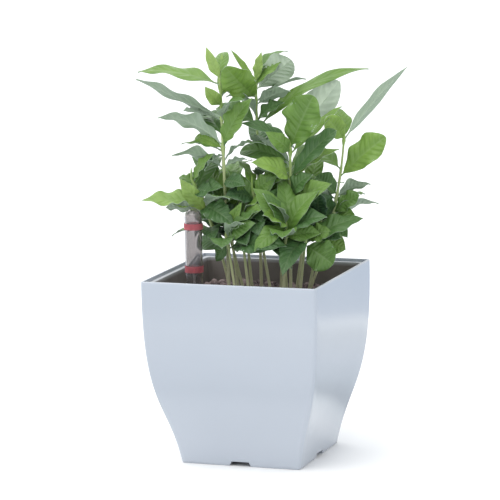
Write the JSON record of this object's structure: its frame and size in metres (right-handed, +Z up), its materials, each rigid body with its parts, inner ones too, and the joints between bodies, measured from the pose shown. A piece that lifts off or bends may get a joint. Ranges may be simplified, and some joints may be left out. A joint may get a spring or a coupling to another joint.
{
  "type": "self-watering planter",
  "caption": "Square glossy planter, narrowed towards its notched base, with a lift-out planting pot on wicks, a clear float gauge in one corner and a clump of leafy seedlings.",
  "frame": {"origin": "middle of the base, on the surface that the planter stands on", "axes": "+Z up; -Y is the front face; the gauge is in the corner at -X, -Y"},
  "size_m": [0.281, 0.2031, 0.455],
  "materials": {
    "pot_white": "gloss",
    "liner_brown": "satin",
    "rubber_dark": "matte",
    "wick_felt": "matte",
    "soil": "matte",
    "clay_pebbles": "matte",
    "clear_tube": "gloss",
    "red_band": "satin",
    "pointer_red": "satin",
    "float_foam": "matte",
    "rod_white": "satin",
    "leaf_green": "satin"
  },
  "bodies": {
    "outer_pot": {"outer_pot": "pot_white"},
    "drain_plug": {"drain_plug": "rubber_dark"},
    "grow_pot": {"grow_pot": "liner_brown", "soil": "soil", "pebble_layer": "clay_pebbles", "wick_cup_1": "liner_brown", "wick_cup_2": "liner_brown", "wick_cup_3": "liner_brown", "wick_cup_4": "liner_brown", "wick_core_1": "wick_felt", "wick_core_2": "wick_felt", "wick_core_3": "wick_felt", "wick_core_4": "wick_felt", "seedling_left_tall": "leaf_green", "seedling_back_tall": "leaf_green", "seedling_right_tall": "leaf_green", "seedling_right": "leaf_green", "seedling_left": "leaf_green", "seedling_front_left": "leaf_green", "seedling_front_middle": "leaf_green", "seedling_front_right": "leaf_green", "seedling_right_low": "leaf_green", "seedling_right_front": "leaf_green", "seedling_middle": "leaf_green", "seedling_middle_right": "leaf_green", "seedling_middle_left": "leaf_green", "seedling_inner": "leaf_green", "seedling_back_right": "leaf_green", "seedling_back_left": "leaf_green", "seedling_back_far": "leaf_green"},
    "gauge": {"gauge_sleeve": "liner_brown", "gauge_tube": "clear_tube", "max_ring": "red_band", "min_ring": "red_band"},
    "float": {"float": "float_foam", "float_rod": "rod_white", "pointer": "pointer_red"}
  },
  "joints": [
    {"name": "grow_pot_lift", "type": "slide", "parent": "outer_pot", "child": "grow_pot", "axis": [0, 0, 1], "range_m": [0, 0.21]},
    {"name": "gauge_lift", "type": "slide", "parent": "grow_pot", "child": "gauge", "axis": [0, 0, 1], "range_m": [0, 0.2]},
    {"name": "float_rise", "type": "slide", "parent": "gauge", "child": "float", "axis": [0, 0, 1], "range_m": [0, 0.047]},
    {"name": "plug_pull", "type": "slide", "parent": "outer_pot", "child": "drain_plug", "axis": [0, 0, 1], "range_m": [0, 0.03]}
  ]
}
